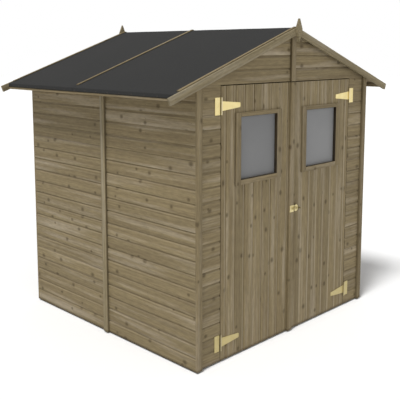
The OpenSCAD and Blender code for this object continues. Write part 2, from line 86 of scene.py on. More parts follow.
def softwood(name, face, streak, pale, knot, shade_colour, turn=None):
    """Softwood: streaks, clouds and fibres are noises stretched along the grain, knots are the cells of a
    flat Voronoi pattern with a radius each. The place in the board comes from the piece's own grain
    attribute, or from Object coordinates turned so that the grain runs along X. Where the piece's painted
    shading is over zero the wood darkens towards the shade colour as painted shade, and where it is under
    zero it lightens as painted light."""
    material, tree, shader = new_finish(name)
    if turn is None:
        place = add(tree, "Attribute", attribute_name="grain").outputs["Vector"]
        tint = add(tree, "Attribute", attribute_name="tint").outputs["Fac"]
    else:
        place = add(tree, "TexCoord").outputs["Object"]
        place = add(tree, "Mapping", {"Vector": place, "Rotation": turn}).outputs["Vector"]
        # With no tint of its own the wood changes shade over some 1.7 m along the grain and 110 mm across
        board = add(tree, "Mapping", {"Vector": place, "Scale": (0.6, 9, 9)})
        tint = add(tree, "TexNoise", {"Vector": board.outputs["Vector"], "Scale": 1.0}).outputs["Fac"]
    painted_shading = add(tree, "Attribute", attribute_name="painted_shading").outputs["Fac"]

    # Length and width of each kind of mark in the grain, in mm, and how finely it is broken up
    marks = {}
    for label, length, width, detail in (("streak", 800, 12, 5), ("cloud", 900, 52, 3), ("fibre", 55, 10, 3)):
        scale = (1000 / length, 1000 / width, 1000 / width)
        stretched = add(tree, "Mapping", {"Vector": place, "Scale": scale}).outputs["Vector"]
        noise = add(tree, "TexNoise", {"Vector": stretched, "Scale": 1.0, "Detail": detail})
        marks[label] = noise.outputs["Fac"]

    # One knot at most to a cell of 170 mm, 6 to 13 mm in radius, a little longer along the grain
    cell = 1000 / 170
    flat = add(tree, "Mapping", {"Vector": place, "Scale": (0.8 * cell, cell, cell)}).outputs["Vector"]
    spots = add(tree, "TexVoronoi", {"Vector": flat, "Scale": 1.0}, voronoi_dimensions="2D")
    draw = add(tree, "SeparateColor", {"Color": spots.outputs["Color"]})
    radius = add(tree, "MapRange", {"Value": draw.outputs["Red"], "To Min": 0.038, "To Max": 0.077})
    share = add(tree, "Math", {0: spots.outputs["Distance"], 1: radius.outputs["Result"]}, operation="DIVIDE")
    core = add(tree, "MapRange", {"Value": share.outputs["Value"], "From Min": 1.9, "From Max": 0.4},
               interpolation_type="SMOOTHSTEP")
    chosen = add(tree, "Math", {0: draw.outputs["Green"], 1: 0.12}, operation="GREATER_THAN")
    knots = add(tree, "Math", {0: core.outputs["Result"], 1: chosen.outputs["Value"]}, operation="MULTIPLY")

    streaks = add(tree, "MapRange", {"Value": marks["streak"], "From Min": 0.37, "From Max": 0.64})
    colour = add(tree, "Mix", {0: streaks.outputs["Result"], 6: linear(face), 7: linear(streak)},
                 data_type="RGBA")
    clouds = add(tree, "MapRange", {"Value": marks["cloud"], "From Min": 0.5, "From Max": 0.74,
                                    "To Max": 0.85})
    colour = add(tree, "Mix", {0: clouds.outputs["Result"], 6: colour.outputs[2], 7: linear(pale)},
                 data_type="RGBA")
    value = add(tree, "MapRange", {"Value": tint, "To Min": 0.9, "To Max": 1.08})
    fine = add(tree, "MapRange", {"Value": marks["fibre"], "From Min": 0.3, "From Max": 0.7,
                                  "To Min": 0.86, "To Max": 1.14})
    value = add(tree, "Math", {0: value.outputs["Result"], 1: fine.outputs["Result"]}, operation="MULTIPLY")
    colour = add(tree, "HueSaturation", {"Value": value.outputs["Value"], "Color": colour.outputs[2]})
    depth = add(tree, "Math", {0: knots.outputs["Value"], 1: 0.66}, operation="MULTIPLY")
    colour = add(tree, "Mix", {0: depth.outputs["Value"], 6: colour.outputs["Color"], 7: linear(knot)},
                 data_type="RGBA")
    # Painted shading, broken up by the clouds: over zero it darkens as painted shade, under zero it lightens
    # as painted light
    patchy = add(tree, "MapRange", {"Value": marks["cloud"], "From Min": 0.35, "From Max": 0.65,
                                    "To Min": 1.4, "To Max": 0.6})
    painted_shading = add(tree, "Math", {0: painted_shading, 1: patchy.outputs["Result"]}, operation="MULTIPLY").outputs["Value"]
    painted_light = add(tree, "MapRange", {"Value": painted_shading, "From Max": -1.0})
    colour = add(tree, "Mix", {0: painted_light.outputs["Result"], 6: colour.outputs[2], 7: linear(pale)},
                 data_type="RGBA")
    colour = add(tree, "Mix", {0: painted_shading, 6: colour.outputs[2], 7: linear(shade_colour)}, data_type="RGBA")

    # Painted shade: the lowest 30 mm over the ground darken towards the shade colour, as a contact shadow at
    # the foot
    height = add(tree, "SeparateXYZ", {"Vector": add(tree, "TexCoord").outputs["Object"]}).outputs["Z"]
    foot_shade = add(tree, "MapRange", {"Value": height, "From Min": 30 * MM, "From Max": 8 * MM, "To Max": 0.8})
    colour = add(tree, "Mix", {0: foot_shade.outputs["Result"], 6: colour.outputs[2], 7: linear(shade_colour)},
                 data_type="RGBA")
    tree.links.new(colour.outputs[2], shader.inputs["Base Color"])

    rough = add(tree, "MapRange", {"Value": marks["streak"], "To Min": 0.68, "To Max": 0.84})
    tree.links.new(rough.outputs["Result"], shader.inputs["Roughness"])
    shader.inputs["Specular IOR Level"].default_value = 0.3
    relief = add(tree, "Math", {0: marks["fibre"], 1: marks["streak"]}, operation="ADD")
    bump = add(tree, "Bump", {"Height": relief.outputs["Value"], "Strength": 0.35, "Distance": 0.8 * MM})
    tree.links.new(bump.outputs["Normal"], shader.inputs["Normal"])
    return material


# Sawn softwood is duller than planed, with a deeper stain from the treatment
SAWN = {"face": "#85765A", "streak": "#6D5F45", "pale": "#968A72", "knot": "#43341F", "shade_colour": "#4E432C"}
sawn_along = {
    "x": softwood("sawn_softwood_along_x", **SAWN, turn=ALONG_X),
    "y": softwood("sawn_softwood_along_y", **SAWN, turn=ALONG_Y),
    "z": softwood("sawn_softwood_along_z", **SAWN, turn=ALONG_Z),
}


def finish_node(material, *names):
    """Gives CAD nodes, whose shape is right already, a finished material."""
    for name in names:
        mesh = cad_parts[name].data
        mesh.materials.clear()
        mesh.materials.append(material)


finish_node(sawn_along["x"], "floor_bearers")

# Floor deck
# Tongued floor boards of planed softwood, laid from front to back across the bearers
# and nailed down. They show when the doors are open.
DECK_BOARDS = 16
GRAIN_RANGE = 60.0
SHARP_EDGE = np.radians(50)
chance = np.random.default_rng(16)


def planed(width, depth, arris=1.5 * MM, near_shade=0.0, far_shade=0.0, back_shade=0.0):
    """Section of a planed board: a rectangle whose corners are quarter circles of the arris radius.
    Its two narrow sides and its back can be darkened with painted shade, where little light falls, by
    the square of the normal's part that way."""
    turn = np.radians([[0, 45, 90], [90, 135, 180], [180, 225, 270], [270, 315, 360]])
    normal = np.stack([np.cos(turn), np.sin(turn)], axis=-1)
    far_c, far_t = width - arris, depth - arris
    centre = np.array([[far_c, far_t], [arris, far_t], [arris, arris], [far_c, arris]])
    ring = (centre[:, None] + arris * normal).reshape(-1, 2)
    across, through = normal.reshape(-1, 2).T
    side_shade = np.where(across < 0, near_shade, far_shade) * across ** 2
    return ring, side_shade + back_shade * np.minimum(through, 0) ** 2


def carry(section, start, along, across, through, begin, end):
    """Carries a section in a straight line: a point is start + along * s + across * c + through * t, with c
    and t from the section and s at the begin and the end, which may differ over the section for a slant cut.
    The same three measures, moved by chance for each board, are its place in the grain."""
    ring, painted_shading = section
    count = len(ring)
    run = np.stack([np.broadcast_to(begin, count), np.broadcast_to(end, count)])
    local = np.stack([run, *np.broadcast_to(ring.T[:, None], (2, 2, count))], axis=-1)
    points = np.array(start) + local @ np.array([along, across, through], float)
    here = np.arange(count)
    ahead = np.roll(here, -1)
    sides = np.stack([here, ahead, ahead + count, here + count], axis=1)
    return {
        "points": points.reshape(-1, 3),
        "grain": (local + chance.uniform(0, GRAIN_RANGE, 3)).reshape(-1, 3),
        "painted_shading": np.tile(painted_shading, 2),
        "tint": np.full(2 * count, chance.uniform()),
        "faces": [*sides.tolist(), here[::-1].tolist(), (here + count).tolist()],
    }


def shape(name, runs, material, body):
    """Joins runs of boards into one mesh with their grain, painted shading and tint, and fixes it to its
    body.
    """
    starts = np.cumsum([0] + [len(run["points"]) for run in runs]).tolist()
    faces = [[start + i for i in face] for start, run in zip(starts, runs) for face in run["faces"]]
    mesh = bpy.data.meshes.new(name)
    mesh.from_pydata(np.concatenate([run["points"] for run in runs]), [], faces)
    for label, kind, field in (("grain", "FLOAT_VECTOR", "vector"), ("painted_shading", "FLOAT", "value"),
                               ("tint", "FLOAT", "value")):
        values = np.concatenate([run[label] for run in runs]).astype(np.float32).ravel()
        mesh.attributes.new(label, kind, "POINT").data.foreach_set(field, values)
    solid = bmesh.new()
    solid.from_mesh(mesh)
    bmesh.ops.recalc_face_normals(solid, faces=solid.faces)
    solid.to_mesh(mesh)
    solid.free()
    mesh.shade_smooth()
    mesh.set_sharp_from_angle(angle=SHARP_EDGE)
    mesh.materials.append(material)
    piece = bpy.data.objects.new(name, mesh)
    bpy.context.collection.objects.link(piece)
    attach(piece, body)
    return piece


RIGHT, BACK, UP = np.eye(3)
planed_inner = softwood("planed_softwood_inside", "#96866A", "#7C6C50", "#A59A84", "#4A3A24", "#5A4D36")
deck_low, deck_high = np.array(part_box("floor_deck"))
deck_w = (deck_high[0] - deck_low[0]) / DECK_BOARDS
deck_section = planed(deck_w, deck_high[2] - deck_low[2])
deck_runs = [
    carry(deck_section, deck_low + i * deck_w * RIGHT, BACK, RIGHT, UP, 0, deck_high[1] - deck_low[1])
    for i in range(DECK_BOARDS)
]
deck_boards = shape("deck_boards", deck_runs, planed_inner, "shed")
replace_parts(deck_boards, "floor_deck")

# Wall framing
# Sawn battens behind the cladding: rails at the foot and head of each wall, and posts between
# them. The cladding boards are nailed to these, and they show inside through the doors.
finish_node(sawn_along["x"], "back_wall_rails", "front_rails")
finish_node(sawn_along["y"], "side_wall_rails")
finish_node(sawn_along["z"], "side_wall_posts", "back_wall_posts", "front_posts")

# Cladding of the side walls
# Shiplap boards of planed, pressure-treated softwood, laid level from the bottom up. The upper
# edge of each is scooped out, and the next board laps over it. Each wall is two panels.
COVER = 87.6 * MM
SCOOP_W = 15 * MM
# Scoop depth, the painted light where the scoop begins and the painted shade at its end and the near edge
WALL_SCOOP = {"scoop_depth": 5.5 * MM, "light_tone": -0.15, "shade_tone": 0.36}
PANEL_GAP = 2 * MM
FACE_ARRIS = 1 * MM
BACK_ARRIS = 1.2 * MM
SCOOP_STEPS = 8
FACE_STEPS = 5
LEAST_COURSE = 4 * MM
ROOF_PITCH = np.radians(19.65)
CLADDING = {"face": "#827455", "streak": "#73654A", "pale": "#9C907A", "knot": "#40331B", "shade_colour": "#3A2F1A"}
shiplap_wood = softwood("pressure_treated_shiplap", **CLADDING)

wall_low, wall_high = np.array(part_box("right_wall"))
half_w, half_d, clad_z = wall_high[0], wall_high[1], wall_low[2]
clad_t = wall_high[0] - wall_low[0]
in_w = half_w - clad_t
roof_low, roof_high = np.array(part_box("right_roof_panel"))
slope_tan, slope_sin, slope_cos = np.tan(ROOF_PITCH), np.sin(ROOF_PITCH), np.cos(ROOF_PITCH)
ridge_z = roof_low[2] + roof_high[0] * slope_tan


def roof_at(x):
    """Height of the roof boards' underside: it falls from the ridge by the pitch on both sides."""
    return ridge_z - np.abs(x) * slope_tan


def shiplap(width, scoop_depth, light_tone, shade_tone):
    """Section of a shiplap board: a flat face, then a circular scoop out of its far edge, which ends level
    with the face of the tongue, with small chamfers behind. The scoop is pale where it begins, as painted
    light; its end, under the lap of the next board, and the board's near edge are dark, as painted shade."""
    scoop_r = (SCOOP_W ** 2 + scoop_depth ** 2) / (2 * scoop_depth)
    turn = np.linspace(np.arcsin(SCOOP_W / scoop_r), 0, SCOOP_STEPS)
    face = np.linspace(FACE_ARRIS, width - SCOOP_W - FACE_ARRIS, FACE_STEPS)
    deep = clad_t - BACK_ARRIS
    scoop_c = width - scoop_r * np.sin(turn)
    scoop_t = scoop_depth - scoop_r * (1 - np.cos(turn))
    share = np.linspace(0, 1, SCOOP_STEPS)
    scoop_shading = np.interp(share, [0, 0.4, 0.6, 1], [light_tone, light_tone, 0, shade_tone])
    c = np.concatenate([[BACK_ARRIS, 0, 0, 0.3 * FACE_ARRIS], face, scoop_c, [width, width - BACK_ARRIS]])
    t = np.concatenate([[clad_t, deep, FACE_ARRIS, 0.3 * FACE_ARRIS], 0 * face, scoop_t, [deep, clad_t]])
    painted_shading = np.concatenate([[0, shade_tone, shade_tone, shade_tone / 3], 0 * face, scoop_shading, [shade_tone, 0]])
    return np.stack([c, t], axis=1), painted_shading


def courses(from_z, to_z):
    """Foot and section of each course of boards between two heights; the last is cut to what is left."""
    whole = int((to_z - from_z) / COVER)
    rest = to_z - from_z - whole * COVER
    steps = [(from_z + i * COVER, shiplap(COVER, **WALL_SCOOP)) for i in range(whole)]
    if rest > LEAST_COURSE:
        steps.append((to_z - rest, planed(rest, clad_t)))
    return steps


for side, name in ((-1, "left_wall"), (1, "right_wall")):
    runs = []
    for from_y, to_y in ((-half_d, -PANEL_GAP / 2), (PANEL_GAP / 2, half_d)):
        for foot_z, section in courses(clad_z, roof_at(half_w)):
            foot = (side * half_w, from_y, foot_z)
            runs.append(carry(section, foot, BACK, UP, -side * RIGHT, 0, to_y - from_y))
    boards = shape(name + "_boards", runs, shiplap_wood, "shed")
    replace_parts(boards, name)

# Cladding of the back wall and the front
# The same shiplap. The back wall is two panels that rise into the gable; the front has a narrow
# panel on each side of the doorway and a gable over it, cut to the roof's slope.
JAMB_X = 699 * MM
GABLE_TIP = 6 * MM
HEAD_SIDES = 12
head_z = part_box("front_side_panels")[1][2]


def gable_boards(from_z, end):
    """Courses of a gable wall in two halves: each board ends at the side wall, or at the slope where that
    comes first. They stop under the ridge, where the boards would be shorter than the tip."""
    from_x = PANEL_GAP / 2
    top_z = roof_at(from_x + GABLE_TIP)
    runs = []
    for side in (-1, 1):
        for foot_z, section in courses(from_z, top_z):
            slope_x = (ridge_z - foot_z - section[0][:, 0]) / slope_tan
            reach = np.minimum(in_w, slope_x) - from_x
            foot = (side * from_x, end * half_d, foot_z)
            runs.append(carry(section, foot, side * RIGHT, UP, -end * BACK, 0, reach))
    return runs


back_boards = shape("back_wall_boards", gable_boards(clad_z, 1), shiplap_wood, "shed")
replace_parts(back_boards, "back_wall")
gable = shape("front_gable_boards", gable_boards(head_z, -1), shiplap_wood, "shed")
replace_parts(gable, "front_gable")
panel_runs = []
for side in (-1, 1):
    for foot_z, section in courses(clad_z, head_z):
        foot = (side * JAMB_X, -half_d, foot_z)
        panel_runs.append(carry(section, foot, side * RIGHT, UP, BACK, 0, in_w - JAMB_X))
front_panels = shape("front_panel_boards", panel_runs, shiplap_wood, "shed")
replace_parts(front_panels, "front_side_panels")


def heads(places, out, radius, rise):
    """Heads of nails or screws, one at each place, square to the surface. Each is a low dome of three rings,
    radius * cos(a) wide and rise * sin(a) high for a = 0, 40 and 75 degrees, closed by flats."""
    over = np.cross(out, np.roll(out, 1))
    over = over / np.linalg.norm(over)
    aside = np.cross(out, over)
    lift = np.radians([0, 40, 75])[:, None, None]
    turn = np.linspace(0, 2 * np.pi, HEAD_SIDES, endpoint=False)[:, None]
    circle = np.cos(turn) * over + np.sin(turn) * aside
    rings = radius * np.cos(lift) * circle + rise * np.sin(lift) * out
    points = (np.array(places)[:, None] + rings.reshape(-1, 3)).reshape(-1, 3)
    index = np.arange(len(lift) * HEAD_SIDES).reshape(-1, HEAD_SIDES)
    ahead = np.roll(index, -1, axis=1)
    sides = np.stack([index[:-1], ahead[:-1], ahead[1:], index[1:]], axis=-1).reshape(-1, 4)
    flats = np.stack([index[0, ::-1], index[-1]])
    first = index.size * np.arange(len(places))[:, None, None]
    faces = [*(first + sides).reshape(-1, 4).tolist(), *(first + flats).reshape(-1, HEAD_SIDES).tolist()]
    none = np.zeros(len(points))
    return {"points": points, "grain": points, "painted_shading": none, "tint": none, "faces": faces}


def nail_steel(name):
    """Plain steel nails: dull dark grey that has stained brown with rust over a few millimetres."""
    material, tree, shader = new_finish(name)
    place = add(tree, "TexCoord").outputs["Object"]
    rust = add(tree, "TexNoise", {"Vector": place, "Scale": 1000 / 5, "Detail": 2.0}).outputs["Fac"]
    colour = add(tree, "Mix", {0: rust, 6: linear("#3B342A"), 7: linear("#4A3A26")}, data_type="RGBA")
    tree.links.new(colour.outputs[2], shader.inputs["Base Color"])
    shader.inputs["Metallic"].default_value = 0.3
    shader.inputs["Roughness"].default_value = 0.6
    return material


# Distances of the nail lines from the middle of the front, and from the middle of the other walls
PANEL_NAIL_X = 848 * MM
POST_NAILS = np.array([436, 853]) * MM
NAIL_HEAD = {"radius": 2 * MM, "rise": 0.6 * MM}
dull_nails = nail_steel("rusted_nail_steel")
panel_z = np.arange(clad_z + COVER / 2, head_z, COVER)
nail_places = [(side * PANEL_NAIL_X, -half_d, z) for side in (-1, 1) for z in panel_z]
shape("front_panel_nails", [heads(nail_places, -BACK, **NAIL_HEAD)], dull_nails, "shed")
wall_z = np.arange(clad_z + COVER / 2, roof_at(half_w), COVER)
wall_runs = []
for side in (-1, 1):
    wall_places = [(side * half_w, end * y, z) for end in (-1, 1) for y in POST_NAILS for z in wall_z]
    wall_runs.append(heads(wall_places, side * RIGHT, **NAIL_HEAD))
back_places = [(side * x, half_d, z) for side in (-1, 1) for x in POST_NAILS for z in wall_z]
wall_runs.append(heads(back_places, BACK, **NAIL_HEAD))
shape("wall_nails", wall_runs, dull_nails, "shed")

# Roof boards and timbers
# Tongued boards laid from front to back over sawn rafters and purlins. Their undersides show
# at the overhanging eaves and inside.
ROOF_BOARDS = 11
finish_node(sawn_along["y"], "roof_timbers")
board_t = (roof_high[2] - ridge_z) * slope_cos
slope_l = (roof_high[0] - board_t * slope_sin) / slope_cos


def slope_axes(side):
    """Directions of one slope: down it, from front to back, and square up from it."""
    down = np.array([side * slope_cos, 0, -slope_sin])
    square = np.array([side * slope_sin, 0, slope_cos])
    return down, BACK, square


def slope_cut(x, lift):
    """Distance down the slope at which a line that is lifted square off the boards' underside lies x away
    from the ridge."""
    return (x - lift * slope_sin) / slope_cos


for side, name in ((-1, "left_roof"), (1, "right_roof")):
    down, back, square = slope_axes(side)
    width = slope_l / ROOF_BOARDS
    section = planed(width, board_t)
    runs = []
    for i in range(ROOF_BOARDS):
        start = np.array([0, -roof_high[1], ridge_z]) + i * width * down
        runs.append(carry(section, start, back, down, square, 0, 2 * roof_high[1]))
    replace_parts(shape(name + "_boards", runs, planed_inner, "shed"), name + "_panel")

# Roofing felt
# Two widths of bitumen felt with a fine mineral face on each slope, rolled from the ridge down,
# turned over the eaves and nailed there. It lies with faint waves between its fixings.
FELT_T = 3 * MM
FELT_FOLD_R = 8 * MM
FELT_WAVE = 1.2 * MM
FELT_WAVE_L = 360 * MM
FELT_JOINT_Y = 80 * MM
SLOPE_STEPS = 36
FOLD_STEPS = 7
LIP_STEPS = 4
ACROSS_STEPS = 34
felt_lift = board_t + FELT_T
felt_foot_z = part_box("right_roof_felt")[0][2]


def mineral_felt(name):
    """Bitumen felt: dark grey grit, drawn coarser than its 1 mm grains so that it shows, and broad cloudy
    wear. At its lower edge, by the piece's painted shading, it darkens to a dark brown as painted shade on
    the lip."""
    material, tree, shader = new_finish(name)
    place = add(tree, "TexCoord").outputs["Object"]
    grit = add(tree, "TexNoise", {"Vector": place, "Scale": 1000 / 6, "Detail": 3.0}).outputs["Fac"]
    wear = add(tree, "TexNoise", {"Vector": place, "Scale": 1000 / 420, "Detail": 4.0}).outputs["Fac"]
    colour = add(tree, "Mix", {0: grit, 6: linear("#252525"), 7: linear("#3B3B3A")}, data_type="RGBA")
    clouds = add(tree, "MapRange", {"Value": wear, "From Min": 0.4, "From Max": 0.7, "To Max": 0.35})
    colour = add(tree, "Mix", {0: clouds.outputs["Result"], 6: colour.outputs[2], 7: linear("#353433")},
                 data_type="RGBA")
    # Painted shade: dark brown at the foot of the lip
    edge = add(tree, "Attribute", attribute_name="painted_shading").outputs["Fac"]
    colour = add(tree, "Mix", {0: edge, 6: colour.outputs[2], 7: linear("#1C170E")}, data_type="RGBA")
    tree.links.new(colour.outputs[2], shader.inputs["Base Color"])
    shader.inputs["Roughness"].default_value = 0.92
    shader.inputs["Specular IOR Level"].default_value = 0.1
    bump = add(tree, "Bump", {"Height": grit, "Strength": 0.5, "Distance": 1.0 * MM})
    tree.links.new(bump.outputs["Normal"], shader.inputs["Normal"])
    return material


def felt_sheet(side, from_y, to_y):
    """A sheet of felt as a line carried from front to back: straight down the slope, round a fold at the
    eaves and down the fascia. Two crossed waves, each slanted a little by the other's direction, sink its
    face; its underside lies a thickness below."""
    lip_x = roof_high[0] + FELT_T
    fold_x = lip_x - FELT_FOLD_R
    fold_z = roof_at(fold_x) + felt_lift / slope_cos - FELT_FOLD_R / slope_cos
    slope_x = np.linspace(0, fold_x, SLOPE_STEPS)
    arc = np.linspace(QUARTER - ROOF_PITCH, 0, FOLD_STEPS)
    lip_z = np.linspace(fold_z, felt_foot_z, LIP_STEPS)[1:]
    line = np.stack([
        np.concatenate([slope_x, fold_x + FELT_FOLD_R * np.cos(arc), np.full_like(lip_z, lip_x)]),
        np.concatenate([roof_at(slope_x) + felt_lift / slope_cos, fold_z + FELT_FOLD_R * np.sin(arc), lip_z]),
    ], axis=1)
    line = np.delete(line, len(slope_x) - 1, axis=0)
    tangent = np.gradient(line, axis=0)
    normal = np.stack([-tangent[:, 1], tangent[:, 0]], axis=1) / np.linalg.norm(tangent, axis=1)[:, None]
    run = np.cumsum(np.linalg.norm(np.diff(line, axis=0, prepend=line[:1]), axis=1))
    y = np.linspace(from_y, to_y, ACROSS_STEPS)
    # In radians: a full turn to a wave length across, 5 to it down the slope, and 3 or 4 to a metre of slant
    wave_across = np.sin(y / FELT_WAVE_L * 2 * np.pi + 3 * run[:, None])
    wave_down = np.sin(run[:, None] / FELT_WAVE_L * 5 + 4 * y)
    sunk = FELT_WAVE * (2 + wave_across + wave_down) / 4
    grids = []
    for depth in (sunk, np.full_like(sunk, FELT_T)):
        flat = line[:, None] - depth[..., None] * normal[:, None]
        x, z = np.maximum(flat[..., 0], 0), flat[..., 1]
        grids.append(np.stack([side * x, np.broadcast_to(y, x.shape), z], axis=-1))
    points = np.concatenate([grid.reshape(-1, 3) for grid in grids])
    index = np.arange(sunk.size).reshape(sunk.shape)
    face = np.stack([index[:-1, :-1], index[1:, :-1], index[1:, 1:], index[:-1, 1:]], axis=-1).reshape(-1, 4)
    rim = np.concatenate([index[0, :-1], index[:-1, -1], index[-1, :0:-1], index[:0:-1, 0]])
    edge = np.stack([rim, np.roll(rim, -1), np.roll(rim, -1) + sunk.size, rim + sunk.size], axis=1)
    # Painted shading: 1 along the foot of the lip, for painted shade there, and 0 elsewhere
    painted_shading = np.tile(np.repeat(np.arange(len(line)) == len(line) - 1, len(y)), 2)
    return {"points": points, "grain": points, "painted_shading": painted_shading, "tint": 0 * painted_shading,
            "faces": [*face.tolist(), *(face[:, ::-1] + sunk.size).tolist(), *edge.tolist()]}


felt_finish = mineral_felt("mineral_roofing_felt")
for side, name in ((-1, "left"), (1, "right")):
    sheets = [
        felt_sheet(side, -roof_high[1], FELT_JOINT_Y - PANEL_GAP / 2),
        felt_sheet(side, FELT_JOINT_Y + PANEL_GAP / 2, roof_high[1]),
    ]
    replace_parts(shape(name + "_felt_sheets", sheets, felt_finish, "shed"), name + "_roof_felt")

# Felt battens, fascias, barge boards and finials
# Planed strips of the same treated softwood: battens nailed over the felt's edges and joint,
# a fascia under each eaves edge, barge boards on the gable ends and a kite-shaped finial on each.
# Painted shade darkens the front-facing sides of the middle and back battens, and the inner faces of the
# barge boards.
STRIP = {"face": "#867A5F", "streak": "#72674D", "pale": "#968D7A", "knot": "#42351D", "shade_colour": "#3E331D"}
strip_wood = softwood("pressure_treated_strips", **STRIP)
COVER_STRIP = {**STRIP, "face": "#7D6F52", "streak": "#6B5E44", "pale": "#8A7E68"}
cover_wood = softwood("pressure_treated_cover_strips", **COVER_STRIP)
# Share of painted shade on the narrow sides and backs of strips
SIDE_SHADE = 0.38
BATTEN_W = 20 * MM
BATTEN_STOP = 35 * MM
RIDGE_GAP = 0.5 * MM

batten_top_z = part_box("felt_battens")[1][2]
batten_t = (batten_top_z - (ridge_z + felt_lift / slope_cos)) * slope_cos
batten_runs = []
for side in (-1, 1):
    down, back, square = slope_axes(side)
    # The middle and back battens get painted shade on the side that faces the front
    for from_y, near_shade in ((-roof_high[1], 0), (FELT_JOINT_Y - BATTEN_W / 2, SIDE_SHADE),
                              (roof_high[1] - BATTEN_W, SIDE_SHADE)):
        section = planed(BATTEN_W, batten_t, near_shade=near_shade)
        lift = felt_lift + section[0][:, 1]
        start = np.array([0, from_y, ridge_z]) + felt_lift * square
        end = slope_cut(roof_high[0] - BATTEN_STOP, felt_lift + batten_t)
        batten_runs.append(carry(section, start, down, back, square, slope_cut(RIDGE_GAP, lift), end))
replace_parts(shape("felt_batten_strips", batten_runs, cover_wood, "shed"), "felt_battens")

# Pins hold the battens and barge boards, and broad clouts the lip of the felt
PIN_HEAD = {"radius": 1.8 * MM, "rise": 0.5 * MM}
CLOUT_HEAD = {"radius": 3 * MM, "rise": 0.6 * MM}
CLOUT_INSET = 25 * MM
CLOUT_RISE = 11 * MM
BATTEN_PINS = np.linspace(40 * MM, 1090 * MM, 8)
BARGE_PINS = np.linspace(90 * MM, 1180 * MM, 5)
clout_y = np.linspace(CLOUT_INSET - roof_high[1], roof_high[1] - CLOUT_INSET, 16)
roof_nails = []
for side in (-1, 1):
    down, back, square = slope_axes(side)
    ridge = np.array([0, 0, ridge_z]) + (felt_lift + batten_t) * square
    middles = (BATTEN_W / 2 - roof_high[1], FELT_JOINT_Y, roof_high[1] - BATTEN_W / 2)
    batten_places = [ridge + y * back + s * down for y in middles for s in BATTEN_PINS]
    roof_nails.append(heads(batten_places, square, **PIN_HEAD))
    lip = np.array([side * (roof_high[0] + FELT_T), 0, felt_foot_z + CLOUT_RISE])
    clout_places = [lip + y * back for y in clout_y]
    roof_nails.append(heads(clout_places, side * RIGHT, **CLOUT_HEAD))

fascia_low, fascia_high = np.array(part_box("eaves_fascias"))
FASCIA_T = 16 * MM
FASCIA_H = 27 * MM
fascia_section = planed(FASCIA_H, FASCIA_T)
fascia_runs = []
for side in (-1, 1):
    start = (side * fascia_high[0], fascia_low[1], fascia_low[2])
    fascia_l = fascia_high[1] - fascia_low[1]
    fascia_runs.append(carry(fascia_section, start, BACK, UP, -side * RIGHT, 0, fascia_l))
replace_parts(shape("eaves_fascia_strips", fascia_runs, cover_wood, "shed"), "eaves_fascias")

BARGE_W = 45 * MM
barge_high = np.array(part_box("barge_boards")[1])
barge_t = barge_high[1] - roof_high[1]
barge_runs = []
for side in (-1, 1):
    down, back, square = slope_axes(side)
    # The barge board's inner face is darkened as painted shade
    section = planed(BARGE_W, barge_t, back_shade=SIDE_SHADE)
    lift = felt_lift - BARGE_W + section[0][:, 0]
    for end in (-1, 1):
        start = np.array([0, end * roof_high[1], ridge_z]) + (felt_lift - BARGE_W) * square
        reach = slope_cut(barge_high[0], felt_lift)
        barge_runs.append(carry(section, start, down, square, end * back, slope_cut(RIDGE_GAP, lift), reach))
    middle = np.array([0, 0, ridge_z]) + (felt_lift - BARGE_W / 2) * square
    for end in (-1, 1):
        barge_places = [middle + end * barge_high[1] * back + s * down for s in BARGE_PINS]
        roof_nails.append(heads(barge_places, end * BACK, **PIN_HEAD))
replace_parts(shape("barge_board_strips", barge_runs, strip_wood, "shed"), "barge_boards")
shape("roof_trim_nails", roof_nails, dull_nails, "shed")

FINIAL_WAIST = 11 * MM
finial_low, finial_high = np.array(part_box("finials"))
waist_z = ridge_z + felt_lift / slope_cos - FINIAL_WAIST
kite = np.array([
    [0, finial_low[2]],
    [finial_high[0], waist_z],
    [0, finial_high[2]],
    [finial_low[0], waist_z],
])
kite_section = (kite - kite[0], np.zeros(len(kite)))
finial_runs = []
for end in (-1, 1):
    start = (0, end * barge_high[1], finial_low[2])
    finial_runs.append(carry(kite_section, start, end * BACK, RIGHT, UP, 0, finial_high[1] - barge_high[1]))
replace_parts(shape("finial_kites", finial_runs, strip_wood, "shed"), "finials")

# Cover strips
# Planed strips nailed over the joints of the wall panels: on the corners of the front and back,
# on the gable, and on the middle of the side and back walls. Their sides are darkened as painted shade.
STRIP_W = 45 * MM
STRIP_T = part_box("back_cover_strips")[1][1] - half_d
# Painted shade on both sides of a middle strip, and on the inner side of each corner strip
strip_section = planed(STRIP_W, STRIP_T, near_shade=SIDE_SHADE, far_shade=SIDE_SHADE)
left_corner = planed(STRIP_W, STRIP_T, far_shade=SIDE_SHADE)
right_corner = planed(STRIP_W, STRIP_T, near_shade=SIDE_SHADE / 2)


def wall_strips(end, centre_foot_z):
    """Two corner strips and one on the middle of a gable wall, each cut to the slope above it."""
    runs = []
    for section, from_x, foot_z in ((left_corner, -half_w, clad_z), (right_corner, half_w - STRIP_W, clad_z),
                                    (strip_section, -STRIP_W / 2, centre_foot_z)):
        top_z = roof_at(from_x + section[0][:, 0])
        foot = (from_x, end * half_d, foot_z)
        runs.append(carry(section, foot, UP, RIGHT, end * BACK, 0, top_z - foot_z))
    return runs


